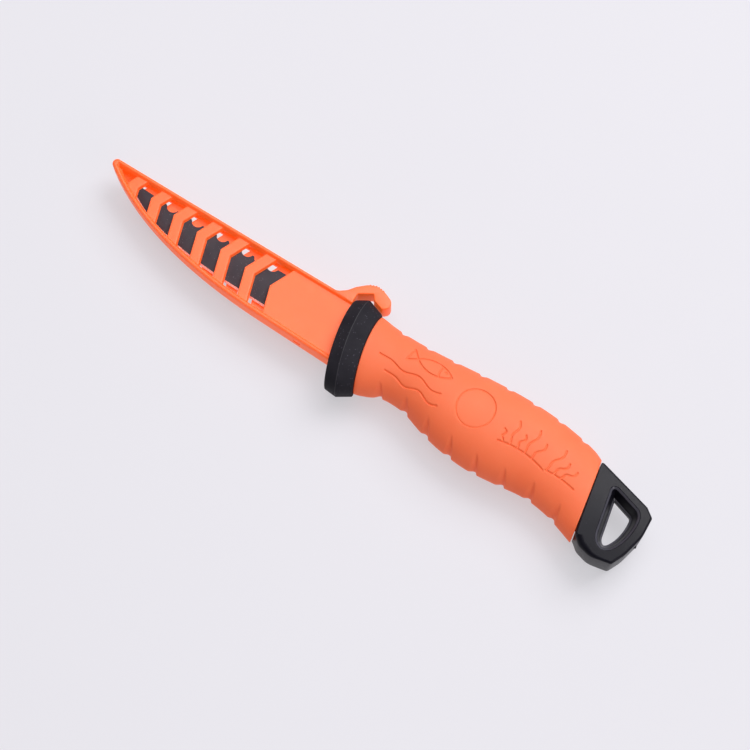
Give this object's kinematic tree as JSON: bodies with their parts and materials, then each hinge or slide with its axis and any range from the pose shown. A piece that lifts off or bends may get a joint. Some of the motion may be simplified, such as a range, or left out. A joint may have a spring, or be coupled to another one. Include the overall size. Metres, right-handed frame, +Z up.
{
  "type": "sheathed fishing knife",
  "caption": "Fixed-blade fishing knife in a slotted sheath with a sprung latch over its guard, and a butt with a lanyard hole.",
  "frame": {"origin": "centre of the bounding box's base, on the surface the knife lies on", "axes": "+X from the sheath's tip to the butt, +Y towards the knife's spine and the latch, +Z up through the front face"},
  "size_m": [0.2516, 0.0486, 0.025],
  "materials": {
    "coated_steel": "matte grey non-stick coating",
    "rivet_steel": "plain",
    "black_hard": "satin",
    "black_soft": "matte",
    "orange_soft": "matte soft-touch",
    "orange_hard": "satin"
  },
  "bodies": {
    "knife": {"blade": "coated_steel", "handle_core_front": "black_hard", "handle_core_back": "black_hard", "tang_rivet_1": "rivet_steel", "tang_rivet_2": "rivet_steel", "tang_rivet_3": "rivet_steel", "guard_collar": "black_soft", "grip_sleeve": "orange_soft", "butt_cap": "black_hard"},
    "sheath": {"sheath_front_shell": "orange_hard", "sheath_back_shell": "orange_hard"},
    "latch": {"latch_arm": "orange_hard"}
  },
  "joints": [
    {"name": "sheath_draw", "type": "slide", "parent": "knife", "child": "sheath", "axis": [-1, 0, 0], "range_m": [0, 0.13]},
    {"name": "latch_flex", "type": "hinge", "parent": "sheath", "child": "latch", "pos_m": [-0.0156, 0.0184, 0.0125], "axis": [0, 0, 1], "range_deg": [0, 14], "stiffness_Nm_per_rad": 0.2}
  ]
}
